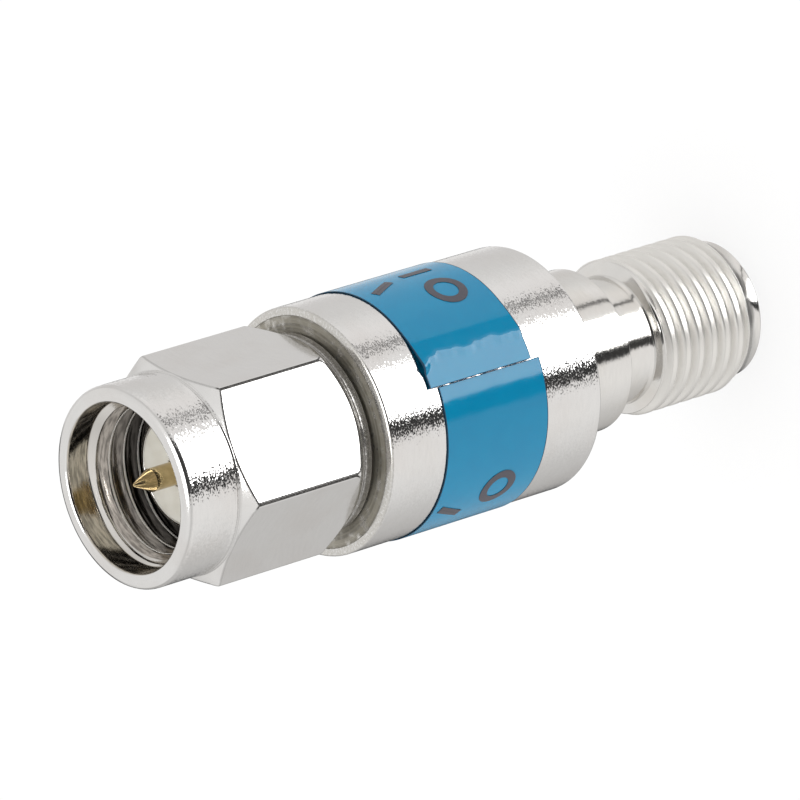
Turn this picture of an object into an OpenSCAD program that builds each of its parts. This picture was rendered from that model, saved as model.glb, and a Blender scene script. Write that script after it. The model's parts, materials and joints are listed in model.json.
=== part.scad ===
// In-line coaxial attenuator, plug above and jack below.
// The common axis is +Z. The part stands on the jack's end rim at z = 0 and
// the plug's coupling nut points up. One flat of the nut faces -Y.

/* [Body] */
// How far the round body stands out past the nut's corners, on each side
body_over = 0.28; // [0.2:0.01:0.8]
// Thickness of the body's tube wall
body_wall = 0.8; // [0.6:0.05:0.9]
// Thickness of the body's wall in front, around the plug's flange
lip_wall = 0.34; // [0.25:0.01:0.5]
// Thickness of the wall that the jack passes through
rear_wall = 1.02; // [0.8:0.01:1.4]
// Size of the body's rear edge round
rear_edge = 0.1; // [0.05:0.01:0.2]
// Radial clearance of the pieces that seat in one another
seat_gap = 0.02; // [0.01:0.005:0.03]

/* [Label] */
// Width of the label along the axis
label_w = 5.1; // [4.8:0.1:6]
// Distance from the body's rear edge to the label
label_from_rear = 3.07; // [2.4:0.01:3.6]
// Thickness of the label
label_t = 0.04; // [0.03:0.01:0.1]
// Thickness of the print
print_t = 0.02; // [0.01:0.01:0.05]
// Height of the printed marks
mark_h = 1.7; // [1.2:0.1:1.8]
// Width of the printed strokes
mark_stroke = 0.35; // [0.25:0.01:0.45]
// Where the label's seam sits around the axis
label_seam_angle = -90.5; // [-180:0.5:180]

/* [Jack] */
// Outer diameter of the thread, on the jack and in the nut
thread_d = 6.35; // [6.3:0.01:6.4]
// Pitch of both threads
thread_pitch = 0.7056; // [0.7:0.0001:0.71]
// Turns of the jack's thread
jack_turns = 6; // [5:1:7]
// Diameter of the plain end in front of the thread
pilot_d = 5.54; // [5.5:0.01:5.56]
// Length of the plain end in front of the thread
pilot_len = 1.0; // [0.8:0.01:1.2]
// Diameter of the relief behind the thread
relief_d = 5.2; // [5.1:0.05:5.4]
// Length of the relief behind the thread
relief_len = 1.85; // [1.4:0.01:2.2]
// Diameter of the neck next to the body
neck_d = 6.56; // [6.4:0.02:6.8]
// Length of the neck outside the body
neck_len = 3.13; // [2.6:0.01:3.6]
// How far the jack's bead reaches out into the neck
bead_reach = 1.98; // [1.6:0.01:2.2]
// Thickness of the flange inside the body
jack_flange_len = 1.4; // [1.0:0.05:2]
// Radial clearance of a plug's contact tube in the jack's mouth
contact_gap = 0.04; // [0.03:0.005:0.05]
// Depth of the jack's mouth, down to the contact plane
jack_mouth_depth = 1.9; // [1.88:0.01:1.96]

/* [Nut] */
// Distance across the flats of the coupling nut
nut_af = 8; // [7.94:0.01:8.1]
// Length of the coupling nut
nut_len = 9; // [8.8:0.05:9.4]
// Diameter of the nut's round collar
collar_d = 7.9; // [7.7:0.02:7.92]
// Length of the collar in front of the hexagon
collar_len = 2.47; // [2.2:0.01:2.8]
// Length of the round land behind the hexagon
rear_land = 0.53; // [0.45:0.01:0.7]
// Radial clearance of a jack's thread in the nut's plain mouth
mouth_gap = 0.125; // [0.08:0.005:0.2]
// Depth of the nut's plain mouth
mouth_depth = 1.0; // [0.8:0.05:1.2]
// Length of the cone between the mouth and the thread
mouth_cone = 0.35; // [0.2:0.01:0.4]
// Turns of the nut's thread
nut_turns = 5; // [4:1:5]
// Gap between the nut's rear face and the plug's flange
nut_gap = 0.15; // [0.1:0.01:0.2]
// How far the nut can rise with its ring
nut_float = 0.2; // [0.1:0.01:0.25]
// Radial clearance between the nut and the barrel that it turns on
run_gap = 0.1; // [0.06:0.01:0.1]

/* [Plug] */
// Diameter of the barrel inside the nut
barrel_d = 5.9; // [5.8:0.02:6]
// Length of the barrel
barrel_len = 3.3; // [3.0:0.05:3.6]
// Thickness of the flange in front of the body
plug_flange_len = 1.55; // [1.2:0.05:1.8]
// Length of the plug's tail inside the body
tail_len = 1.15; // [0.9:0.05:1.6]
// Wall of the contact tube
tube_wall = 0.2; // [0.18:0.01:0.22]
// Distance from the contact plane up to the nut's front rim
nut_overhang = 2.75; // [2.7:0.01:2.9]
// How far the pin stands out of the contact plane
pin_reach = 2.2; // [2.0:0.01:2.4]
// Length of the pin's cone
pin_cone = 0.8; // [0.6:0.05:1]
// Distance from the flange up to the ring's groove
ring_offset = 1.15; // [1:0.05:1.2]
// Thickness of the snap ring
ring_t = 0.45; // [0.35:0.01:0.5]
// Depth of the ring's groove in the barrel
ring_depth = 0.5; // [0.4:0.01:0.6]

/* [Line] */
// Diameter of the pin
pin_d = 0.914; // [0.9:0.002:0.94]
// Outer diameter of the socket, and of the line inside both insulators
socket_d = 1.27; // [1.24:0.01:1.3]
// Radial clearance of a pin in the socket
socket_gap = 0.018; // [0.015:0.001:0.025]
// Depth of the socket's bore
socket_depth = 3; // [2.6:0.1:3.4]
// Width of the four slots in the socket
socket_slot = 0.14; // [0.1:0.01:0.16]
// Diameter of both insulators
insulator_d = 4.1; // [4.06:0.01:4.14]
// How much wider the beads are than the insulators, on each side
bead_step = 0.35; // [0.3:0.01:0.4]
// Length of the plug's bead with its ring
plug_bead_len = 3; // [2.6:0.05:3.4]
// Length of the rings that hold the beads
bead_ring_len = 0.7; // [0.5:0.05:0.9]
// Diameter of the stems that run to the chip
stem_d = 0.9; // [0.84:0.01:0.96]
// How much wider the shoulders are than the stems, on each side
shoulder_step = 0.48; // [0.4:0.01:0.55]
// Length of the shoulders
shoulder_len = 0.4; // [0.3:0.01:0.5]

/* [Chip] */
// Length of the ground blocks along the axis
carrier_len = 5; // [4.8:0.05:5.4]
// Height of the conical washer behind the ground blocks
washer_h = 0.6; // [0.5:0.01:0.8]
// Thickness of the conical washer
washer_t = 0.25; // [0.2:0.01:0.3]
// Width of the ceramic chip
chip_w = 2.5; // [2.4:0.05:2.6]
// Length of the ceramic chip
chip_len = 3.5; // [3.3:0.05:3.6]
// Thickness of the ceramic chip
chip_t = 0.4; // [0.35:0.01:0.5]
// Width of the chip's edge that the ground blocks clamp
clamp_w = 0.15; // [0.1:0.01:0.2]
// Length of the chip's end pads
pad_len = 0.45; // [0.4:0.01:0.5]
// Width of the chip's end pads
pad_w = 1.2; // [1:0.05:1.4]
// Thickness of the printed film and pads
film_t = 0.03; // [0.02:0.005:0.04]
// Gap between the chip and each stem
stem_gap = 0.25; // [0.2:0.01:0.3]
// Thickness of the leaf contacts
leaf_t = 0.11; // [0.08:0.01:0.12]
// Height of the leaf contacts in the stems, over the chip's face
leaf_y = 0.11; // [0.09:0.01:0.14]

/* [Hidden] */
$fn = 96;

steel = "#d6d4d1";
steel_dark = "#b9b7b2";
gold = "#c9a76a";
off_white = "#dcd9cc";
bead_colour = "#e3dccb";
block_colour = "#c9c2a8";

// radii
nut_corner_r = nut_af / 2 / cos(30);
body_r = nut_corner_r + body_over;
thread_r = thread_d / 2;
crest = thread_pitch / 8;
root_dip = 0.04 * thread_pitch;
minor_r = thread_r - 0.432 * thread_pitch;
cavity_r = body_r - body_wall;
seated_r = cavity_r - seat_gap;
lip_r = body_r - lip_wall;
label_r = body_r + seat_gap + label_t;
pilot_r = pilot_d / 2;
relief_r = relief_d / 2;
neck_r = neck_d / 2;
insulator_r = insulator_d / 2;
bead_r = insulator_r + bead_step;
bead_bore_r = bead_r + seat_gap;
tube_bore_r = insulator_r + seat_gap;
tube_r = tube_bore_r + tube_wall;
jack_mouth_r = tube_r + contact_gap;
stem_r = stem_d / 2;
shoulder_r = stem_r + shoulder_step;
pin_r = pin_d / 2;
line_r = socket_d / 2;
barrel_r = barrel_d / 2;
ring_seat_r = barrel_r - ring_depth;
ring_gap = 0.07;      // ring to both grooves, across
ring_side = 0.03;     // ring to both grooves, along
ring_r0 = ring_seat_r + ring_gap;
ring_r1 = barrel_r + run_gap + 0.15;
mouth_r = thread_r + mouth_gap;
collar_r = collar_d / 2;
nut_foot = nut_af / 2 - 0.02;
channel_r = chip_w / 2 - clamp_w;

// places along the axis, counted up from the jack's rim
z_thread1 = pilot_len + jack_turns * thread_pitch + crest;
z_relief0 = z_thread1 + 0.27;
z_relief1 = z_relief0 + relief_len;
z_body0 = z_relief1 + neck_len;
z_jack_bead = z_body0 - bead_reach;
z_wall1 = z_body0 + rear_wall;
z_flange1 = z_wall1 + jack_flange_len;
z_mid = z_flange1 + carrier_len / 2;
z_carrier1 = z_flange1 + carrier_len;
z_tail0 = z_carrier1 + washer_h;
z_plug_flange0 = z_tail0 + tail_len;
z_plug_flange1 = z_plug_flange0 + plug_flange_len;
z_body1 = z_plug_flange1 + 0.03;
z_plug_bead = z_tail0 + plug_bead_len;
z_seat0 = z_plug_flange1 + ring_offset;
z_ring0 = z_seat0 + ring_side;
z_ring1 = z_ring0 + ring_t;
z_seat1 = z_ring1 + nut_float + ring_side;
z_barrel1 = z_plug_flange1 + barrel_len;
z_nut0 = z_plug_flange1 + nut_gap;
z_nut1 = z_nut0 + nut_len;
z_nut_thread1 = z_nut1 - mouth_depth - mouth_cone;
z_nut_thread0 = z_nut_thread1 - nut_turns * thread_pitch;
z_plane = z_nut1 - nut_overhang;
z_tip = z_plane + pin_reach;
z_label0 = z_body0 + label_from_rear;
z_label_mid = z_label0 + label_w / 2;
z_stem = chip_len / 2 + stem_gap;

// turned part from a list of [radius, height] points
module turned(points) { rotate_extrude() polygon(points); }

// round bar, or a hole's cutter, from z0 to z1
module bar(r, z0, z1) { translate([0, 0, z0]) cylinder(r = r, h = z1 - z0); }

module tube(ro, ri, z0, z1) {
    difference() {
        bar(ro, z0, z1);
        bar(ri, z0 - 1, z1 + 1);
    }
}

// one ring-shaped thread groove cut outwards into a hole
module inner_groove(r, z, depth) {
    top = thread_pitch * 0.375;
    foot = thread_pitch * 0.08;
    turned([[r - 0.2, z - top], [r, z - top], [r + depth, z - foot], [r + depth, z + foot],
            [r, z + top], [r - 0.2, z + top]]);
}

// one ring-shaped thread groove cut inwards into a round bar, with a hollow root below its flanks
module outer_groove(r, z, depth) {
    top = (thread_pitch - crest) / 2;
    foot = top - depth * tan(30);
    turned([[r + 0.2, z - top], [r, z - top], [r - depth, z - foot], [r - depth - root_dip, z],
            [r - depth, z + foot], [r, z + top], [r + 0.2, z + top]]);
}

module coupling_nut() {
    land = nut_corner_r - 0.03;
    z_rear = z_nut0 + rear_land;
    z_front = z_nut1 - collar_len;
    color(steel) difference() {
        union() {
            intersection() {
                translate([0, 0, z_rear]) cylinder(r = nut_corner_r, h = z_front - z_rear, $fn = 6);
                turned([[0, z_rear], [nut_foot, z_rear], [land, z_rear + land - nut_foot],
                        [land, z_front - (land - nut_foot) * tan(30)], [nut_foot, z_front], [0, z_front]]);
            }
            // collar in front of the hexagon, with a faint step at its foot
            turned([[0, z_front - 0.5], [nut_foot, z_front - 0.5], [nut_foot, z_front + 0.02],
                    [collar_r + 0.02, z_front + 0.06], [collar_r + 0.02, z_front + 0.26],
                    [collar_r, z_front + 0.3], [collar_r, z_nut1 - 0.1], [collar_r - 0.03, z_nut1 - 0.03],
                    [collar_r - 0.1, z_nut1], [0, z_nut1]]);
            // round land behind the hexagon, with a fine line turned in it
            turned([[0, z_nut0], [nut_foot - 0.07, z_nut0], [nut_foot - 0.01, z_nut0 + 0.06],
                    [nut_foot - 0.01, z_rear - 0.16], [nut_foot - 0.07, z_rear - 0.13],
                    [nut_foot - 0.07, z_rear - 0.09], [nut_foot - 0.01, z_rear - 0.06],
                    [nut_foot - 0.01, z_rear + 0.2], [0, z_rear + 0.2]]);
        }
        bar(barrel_r + run_gap, z_nut0 - 1, z_nut_thread0);
        bar(minor_r, z_nut0, z_nut1);
        bar(mouth_r, z_nut1 - mouth_depth, z_nut1 + 1);
        translate([0, 0, z_nut1 - 0.06]) cylinder(r1 = mouth_r, r2 = mouth_r + 0.07, h = 0.07);
        // cone from the plain mouth down to the thread
        translate([0, 0, z_nut_thread1]) cylinder(r1 = minor_r, r2 = mouth_r, h = mouth_cone + 0.01);
        for (i = [0 : nut_turns - 1])
            inner_groove(minor_r, z_nut_thread1 - (i + 0.5) * thread_pitch, thread_r - minor_r + 0.03);
        // groove for the snap ring
        bar(ring_r1 + ring_gap, z_ring0 - ring_side, z_ring1 + ring_side);
    }
}

module nut_snap_ring() {
    color(steel_dark) rotate([0, 0, 105]) rotate_extrude(angle = 330)
        translate([ring_r0, z_ring0]) square([ring_r1 - ring_r0, ring_t]);
}

module plug_shell() {
    color(steel) difference() {
        turned([[0, z_tail0], [seated_r - 0.06, z_tail0], [seated_r, z_tail0 + 0.06], [seated_r, z_plug_flange0],
                [lip_r - seat_gap, z_plug_flange0], [lip_r - seat_gap, z_plug_flange1 - 0.04],
                [lip_r - seat_gap - 0.04, z_plug_flange1], [barrel_r, z_plug_flange1],
                [barrel_r, z_seat0], [ring_seat_r, z_seat0], [ring_seat_r, z_seat1], [barrel_r, z_seat1],
                [barrel_r, z_barrel1 - 0.3], [barrel_r - 0.3, z_barrel1],
                [tube_r, z_barrel1], [tube_r, z_plane - 0.07], [tube_r - 0.07, z_plane], [0, z_plane]]);
        bar(tube_bore_r, z_tail0 - 1, z_plane + 1);
        bar(bead_bore_r, z_tail0 - 1, z_plug_bead);
    }
}

module plug_dielectric() {
    color(off_white) difference() {
        bar(insulator_r, z_plug_bead, z_plane);
        bar(line_r + seat_gap, z_plug_bead - 1, z_plane + 1);
        bar(shoulder_r + seat_gap, z_plug_bead - 1, z_plug_bead + shoulder_len);
    }
}

module plug_pin() {
    z_cone = z_tip - pin_cone;
    color(gold) difference() {
        // the shank in the insulator is as thick as the socket, and ends just under the contact plane
        turned([[0, z_mid + z_stem], [stem_r, z_mid + z_stem], [stem_r, z_plug_bead], [shoulder_r, z_plug_bead],
                [shoulder_r, z_plug_bead + shoulder_len], [line_r, z_plug_bead + shoulder_len],
                [line_r, z_plane - 0.05], [pin_r, z_plane - 0.05], [pin_r, z_cone],
                [pin_r - 0.02, z_cone + 0.04], [0.07, z_tip - 0.03], [0.04, z_tip], [0, z_tip]]);
        leaf_slot(1);
    }
}

module plug_bead() {
    color(bead_colour) tube(bead_r, stem_r + seat_gap, z_tail0 + bead_ring_len, z_plug_bead);
}

module plug_bead_ring() {
    color(steel_dark) tube(bead_r, shoulder_r + 0.57, z_tail0, z_tail0 + bead_ring_len);
}

module housing() {
    color(steel) difference() {
        turned([[0, z_body0], [body_r - rear_edge, z_body0], [body_r - rear_edge * 0.3, z_body0 + rear_edge * 0.3],
                [body_r, z_body0 + rear_edge], [body_r, z_body1 - 0.09], [body_r - 0.06, z_body1 - 0.05],
                [lip_r + 0.04, z_body1], [0, z_body1]]);
        bar(neck_r + seat_gap, z_body0 - 1, z_body1);
        bar(cavity_r, z_wall1, z_body1);
        bar(lip_r, z_plug_flange0, z_body1 + 1);
    }
}

module label_band() {
    color("#3b8ab2") rotate([0, 0, label_seam_angle + 0.4]) rotate_extrude(angle = 359.2)
        translate([body_r + seat_gap, z_label0]) square([label_t, label_w]);
}

// one flat mark, wrapped on the label a degrees round from the seam, z above its middle
module on_label(a, z) {
    intersection() {
        tube(label_r + seat_gap + print_t, label_r + seat_gap, z_label0, z_label0 + label_w);
        rotate([0, 0, label_seam_angle + a]) translate([label_r - 0.6, 0, z_label_mid + z])
            rotate([90, 0, 90]) linear_extrude(1) children();
    }
}

module mark_ring() {
    difference() {
        circle(mark_h / 2);
        circle(mark_h / 2 - mark_stroke);
    }
}

module mark_bar(a) { rotate(a) square([mark_stroke, mark_h * 0.85], center = true); }

module label_print() {
    color("#5a5560") {
        // rings and bars in two groups, one each side of the seam
        lower = -mark_h * 0.45;
        upper = mark_h * 0.8;
        on_label(46, lower) mark_ring();
        on_label(61, upper) mark_bar(28);
        on_label(67, lower) mark_bar(0);
        on_label(-58.5, lower) mark_ring();
        on_label(-66.5, upper) mark_bar(-28);
    }
}

module half_block(y0) {
    intersection() {
        bar(seated_r, z_flange1, z_carrier1);
        translate([-body_r, y0, z_flange1 - 1]) cube([2 * body_r, body_r, carrier_len + 2]);
    }
}

module carrier_upper() {
    color(block_colour) difference() {
        half_block(0);
        bar(channel_r, z_flange1 - 1, z_carrier1 + 1);
    }
}

module carrier_lower() {
    color(block_colour) difference() {
        half_block(-body_r);
        translate([-chip_w / 2, -chip_t, z_mid - chip_len / 2]) cube([chip_w, chip_t + 1, chip_len]);
        bar(channel_r, z_flange1 - 1, z_mid - chip_len / 2);
        bar(channel_r, z_mid + chip_len / 2, z_carrier1 + 1);
    }
}

module attenuator_chip() {
    color("#ece9e0") translate([-chip_w / 2, -chip_t, z_mid - chip_len / 2]) cube([chip_w, chip_t, chip_len]);
}

module resistor_film() {
    l = chip_len / 2 - pad_len;
    w = channel_r - 0.05;
    color("#3f3a36") translate([0, 0, z_mid]) rotate([90, 0, 0]) mirror([0, 0, 1]) linear_extrude(film_t) union() {
        translate([-w / 3, -l]) square([w * 2 / 3, 2 * l]);
        translate([-w, -l / 4]) square([2 * w, l / 2]);
    }
}

module chip_terminals() {
    color("#d8d8d4") for (s = [-1, 1]) translate([-pad_w / 2, 0, z_mid + s * (chip_len - pad_len) / 2 - pad_len / 2])
        cube([pad_w, film_t, pad_len]);
}

// slot in the end of a stem, for the leaf contact
module leaf_slot(s) {
    translate([-stem_r - 1, leaf_y - 0.01, z_mid + s * (z_stem + 0.3) - 0.4]) cube([stem_d + 2, leaf_t + 0.01, 0.8]);
}

// leaf contact between a stem's slot and the chip's end pad
module leaf(s) {
    z_pad = (chip_len - pad_len) / 2 - 0.08;
    y1 = leaf_y + leaf_t;
    color(gold) translate([-pad_w / 4, 0, z_mid]) rotate([90, 0, 90]) linear_extrude(pad_w / 2)
        mirror([0, s < 0 ? 1 : 0])
            polygon([[y1, z_stem + 0.25], [leaf_y, z_stem + 0.25], [leaf_y, z_stem - 0.1], [film_t, z_pad + 0.15],
                     [film_t, z_pad - 0.1], [film_t + leaf_t, z_pad - 0.1], [film_t + leaf_t, z_pad + 0.1],
                     [y1, z_stem - 0.15]]);
}

module contact_spring_plug() { leaf(1); }

module contact_spring_jack() { leaf(-1); }

module carrier_spring() {
    ri = 1.8;
    ro = seated_r - 0.15;
    color(steel_dark) turned([[ri, z_tail0 - washer_t], [ro - 0.05, z_carrier1], [ro, z_carrier1],
                              [ro, z_carrier1 + washer_t], [ri + 0.05, z_tail0], [ri, z_tail0]]);
}

module jack_shell() {
    color(steel) difference() {
        turned([[0, 0], [pilot_r - 0.1, 0], [pilot_r, 0.1], [pilot_r, pilot_len - 0.08],
                [thread_r - 0.1, pilot_len - 0.02], [thread_r, pilot_len + 0.04],
                [thread_r, z_thread1], [thread_r - 0.08, z_thread1 + 0.06], [relief_r, z_relief0],
                [relief_r, z_relief1], [neck_r - 0.05, z_relief1], [neck_r, z_relief1 + 0.05],
                [neck_r, z_wall1], [seated_r, z_wall1], [seated_r, z_flange1], [0, z_flange1]]);
        bar(jack_mouth_r, -1, jack_mouth_depth);
        translate([0, 0, -0.01]) cylinder(r1 = jack_mouth_r + 0.1, r2 = jack_mouth_r, h = 0.1);
        for (i = [0 : jack_turns - 1])
            outer_groove(thread_r, pilot_len + crest / 2 + (i + 0.5) * thread_pitch, thread_r - pilot_r);
        bar(tube_bore_r, 0, z_flange1 + 1);
        bar(bead_bore_r, z_jack_bead, z_flange1 + 1);
    }
}

module jack_dielectric() {
    color(off_white) difference() {
        bar(insulator_r, jack_mouth_depth, z_jack_bead);
        bar(line_r + seat_gap, 0, z_jack_bead + 1);
        bar(shoulder_r + seat_gap, z_jack_bead - shoulder_len, z_jack_bead + 1);
    }
}

module jack_socket() {
    color(gold) difference() {
        turned([[0, jack_mouth_depth], [line_r - 0.03, jack_mouth_depth], [line_r, jack_mouth_depth + 0.03],
                [line_r, z_jack_bead - shoulder_len], [shoulder_r, z_jack_bead - shoulder_len],
                [shoulder_r, z_jack_bead], [stem_r, z_jack_bead], [stem_r, z_mid - z_stem], [0, z_mid - z_stem]]);
        bar(pin_r + socket_gap, 0, jack_mouth_depth + socket_depth);
        for (a = [45, 135]) rotate([0, 0, a]) translate([-socket_d, -socket_slot / 2, 0])
            cube([2 * socket_d, socket_slot, jack_mouth_depth + socket_depth - 0.4]);
        leaf_slot(-1);
    }
}

module jack_bead() {
    color(bead_colour) tube(bead_r, stem_r + seat_gap, z_jack_bead, z_flange1 - bead_ring_len);
}

module jack_bead_ring() {
    color(steel_dark) tube(bead_r, shoulder_r + 0.57, z_flange1 - bead_ring_len, z_flange1);
}

coupling_nut();
nut_snap_ring();
plug_shell();
plug_dielectric();
plug_pin();
plug_bead();
plug_bead_ring();
housing();
label_band();
label_print();
carrier_upper();
carrier_lower();
attenuator_chip();
resistor_film();
chip_terminals();
contact_spring_plug();
contact_spring_jack();
carrier_spring();
jack_shell();
jack_dielectric();
jack_socket();
jack_bead();
jack_bead_ring();
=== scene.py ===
import json
import math

import bpy
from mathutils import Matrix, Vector


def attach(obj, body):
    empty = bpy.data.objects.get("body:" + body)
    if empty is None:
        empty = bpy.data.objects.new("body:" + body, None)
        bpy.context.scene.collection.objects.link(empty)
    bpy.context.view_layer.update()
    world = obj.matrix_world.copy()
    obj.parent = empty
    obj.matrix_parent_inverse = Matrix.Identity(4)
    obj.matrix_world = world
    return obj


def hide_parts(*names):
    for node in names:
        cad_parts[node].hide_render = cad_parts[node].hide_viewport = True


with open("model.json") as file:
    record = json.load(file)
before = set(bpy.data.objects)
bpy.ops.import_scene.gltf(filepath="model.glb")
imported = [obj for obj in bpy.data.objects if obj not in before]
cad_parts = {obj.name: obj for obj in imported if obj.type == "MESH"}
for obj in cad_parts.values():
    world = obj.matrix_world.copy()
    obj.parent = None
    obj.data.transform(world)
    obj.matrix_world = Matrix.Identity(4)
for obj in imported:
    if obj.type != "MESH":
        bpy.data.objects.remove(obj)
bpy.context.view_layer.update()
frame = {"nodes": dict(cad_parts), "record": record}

cadNodes = frame["nodes"]
mm = 0.001


# shader sockets in plain arithmetic

class Wire:  # a socket that can be added, multiplied and compared like a number
    def __init__(self, finish, socket, wide=False):
        self.finish, self.socket, self.wide = finish, socket, wide

    def join(self, operation, first, second):
        wide = any(isinstance(v, tuple) or getattr(v, "wide", False) for v in (first, second))
        kind = "VectorMath" if wide else "Math"  # colours and vectors stay whole
        return self.finish.add(kind, {"operation": operation}, {0: first, 1: second}, wide=wide)

    def through(self, operation):  # one number in, one number out
        return self.finish.add("Math", {"operation": operation}, {0: self})

    def __add__(self, other): return self.join("ADD", self, other)
    def __radd__(self, other): return self.join("ADD", other, self)
    def __sub__(self, other): return self.join("SUBTRACT", self, other)
    def __rsub__(self, other): return self.join("SUBTRACT", other, self)
    def __mul__(self, other): return self.join("MULTIPLY", self, other)
    def __rmul__(self, other): return self.join("MULTIPLY", other, self)
    def __truediv__(self, other): return self.join("DIVIDE", self, other)
    def __rtruediv__(self, other): return self.join("DIVIDE", other, self)
    def __abs__(self): return self.through("ABSOLUTE")

    def root(self): return self.through("SQRT")
    def atMost(self, other): return self.join("MINIMUM", self, other)
    def atLeast(self, other): return self.join("MAXIMUM", self, other)

    def rise(self, low, high, start=0.0, end=1.0):  # smooth step from one value to another
        return self.finish.add("MapRange", {"interpolation_type": "SMOOTHSTEP"},
                               {"Value": self, "From Min": low, "From Max": high,
                                "To Min": start, "To Max": end})


class Finish:  # the node tree of one material, or of the world
    def __init__(self, owner):
        owner.use_nodes = True
        self.owner, self.tree = owner, owner.node_tree
        self.tree.nodes.clear()
        self.spot = None

    def add(self, kind, settings=None, sockets=None, output=0, wide=False):
        node = self.tree.nodes.new("ShaderNode" + kind)
        for name, value in (settings or {}).items():
            if name == "stops":  # of a colour ramp, each a place and a colour
                elements = node.color_ramp.elements
                elements.remove(elements[1])
                for place, colour in value[1:]:
                    elements.new(place).color = (*colour, 1)
                elements[0].position, elements[0].color = value[0][0], (*value[0][1], 1)
            else:
                setattr(node, name, value)
        for name, value in (sockets or {}).items():
            socket = node.inputs[name]
            if isinstance(value, Wire):
                self.tree.links.new(value.socket, socket)
            elif socket.type == "VECTOR" and not isinstance(value, tuple):
                socket.default_value = (value,) * 3
            elif socket.type == "RGBA":
                socket.default_value = (*value[:3], 1)
            else:
                socket.default_value = value
        return Wire(self, node.outputs[output], wide) if node.outputs else None

    def split(self, vector):
        return [self.add("SeparateXYZ", None, {0: vector}, output=i) for i in range(3)]

    def point(self, x, y, z):
        return self.add("CombineXYZ", None, {0: x, 1: y, 2: z}, wide=True)

    def grey(self, value):
        return self.point(value, value, value)

    def place(self):  # the point on the part in millimetres, whole and as x, y and z
        if not self.spot:
            where = self.add("TexCoord", output="Object", wide=True) * (1000.0, 1000.0, 1000.0)
            self.spot = [where, *self.split(where)]
        return self.spot

    def radius(self):  # how far that point is from the axis
        where, x, y, z = self.place()
        return (x * x + y * y).root()

    def noise(self, where, scale=1.0, detail=2.0):
        return self.add("TexNoise", {"noise_dimensions": "3D"}, {"Vector": where, "Scale": scale, "Detail": detail})

    def blend(self, mask, first, second):  # between two colours
        return self.add("Mix", {"data_type": "RGBA"}, {0: mask, 6: first, 7: second}, output=2, wide=True)

    def bump(self, height, depth):  # depth in millimetres
        return self.add("Bump", None, {"Height": height, "Strength": 1.0, "Distance": depth * mm}, wide=True)

    def lean(self, normal, amount, streaks):  # tips the normal round the axis, streak by streak
        where, x, y, z = self.place()
        radius = self.radius().atLeast(0.01)
        around = self.point(y / radius * -1.0, x / radius, 0.0)
        around = self.add("VectorTransform",
                          {"vector_type": "VECTOR", "convert_from": "OBJECT", "convert_to": "WORLD"},
                          {0: around}, wide=True)
        leaning = normal + around * self.grey((streaks - 0.5) * amount)
        return self.add("VectorMath", {"operation": "NORMALIZE"}, {0: leaning}, wide=True)

    def close(self, **sockets):  # an underscore stands for a space in a socket's name
        named = {name.replace("_", " "): value for name, value in sockets.items()}
        self.add("OutputMaterial", None, {0: self.add("BsdfPrincipled", None, named)})
        return self.owner


def newFinish(name):
    return Finish(bpy.data.materials.new(name))


# the finishes, one for each slot of the record; their places and sizes are in millimetres

def turnedMetal(name, look):
    finish = newFinish(name)
    where, x, y, z = finish.place()
    along = z + finish.radius() * 0.7  # keeps running across end faces
    lines = finish.point(x * look["lineRound"], y * look["lineRound"], along * look["lineFine"])
    lines = finish.noise(lines, detail=2.5)
    streaks = finish.point(x * look["streakRound"], y * look["streakRound"], along * look["streakFine"] + 40.0)
    streaks = finish.noise(streaks, detail=1.5)
    grain = finish.noise(where, look["grain"])
    stain = finish.noise(where, 0.55, detail=3.0).rise(0.35, 0.75)
    upright = abs(finish.split(finish.add("NewGeometry", output="Normal", wide=True))[2])
    wall = 1.0 - upright.rise(0.3, 0.8)  # 1 on walls round the axis, 0 on end faces
    turned, onFlat, metallic = 1.0, None, 1.0
    if "hexagon" in look:  # the milled flats have no turning lines
        onFlat, paintedEdgeLines = flatsAndPaintedEdges(finish, look["hexagon"])
        turned = 1.0 - onFlat
    height = lines * turned + grain * look["grainShare"]
    shade = lines.rise(0.25, 0.75, 1.0 - look["streak"], 1.0)
    colour = finish.blend(stain * 0.6, look["colour"], look["stained"]) * finish.grey(shade)
    roughness = grain.rise(0.25, 0.75, look["roughness"] * 0.8, look["roughness"] * 1.25) + stain * 0.03
    if "hexagon" in look:
        # the dark lines are a painted reflection that the rounded edges of the flats would show
        colour = finish.blend(paintedEdgeLines * grain.rise(0.3, 0.6, 0.75, 1.0), colour, look["paintedEdgeReflection"])
        roughness = roughness + paintedEdgeLines * 0.45
    if "inside" in look:
        within, crest, colour = insideShadeAndHighlight(finish, look["inside"], lines, colour)
        roughness = roughness + within * look["inside"]["roughness"] + crest * 0.25
        metallic = 1.0 - crest * 0.75
        turned = 1.0 - within.atLeast(onFlat)
    if "satin" in look:  # a stretch of the axis that is less polished
        low, high, more, pale = look["satin"]
        satin = (1.0 - z.rise(high - 0.06, high)) * z.rise(low, low + 0.1)
        roughness = roughness + satin * more
        colour = finish.blend(satin, colour, pale)
    if "grimeAndShade" in look:
        dirtAndShade, dirtAndShadeColour = grimeAndShadeLook(finish, look["grimeAndShade"])
        if onFlat:
            dirtAndShade = dirtAndShade * (1.0 - onFlat)
        # dirt together with painted shade where the nut meets the body
        colour = finish.blend(dirtAndShade, colour, dirtAndShadeColour)
        roughness = roughness + dirtAndShade * look["grimeAndShade"]["roughness"]
        metallic = metallic - dirtAndShade * look["grimeAndShade"]["earthy"]
    normal = finish.lean(finish.bump(height, look["depth"]), turned * look["ragged"] * wall, streaks)
    return finish.close(Base_Color=colour, Metallic=metallic, Roughness=roughness,
                        Anisotropic=look["stretch"], Anisotropic_Rotation=0.25, Normal=normal)


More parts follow.
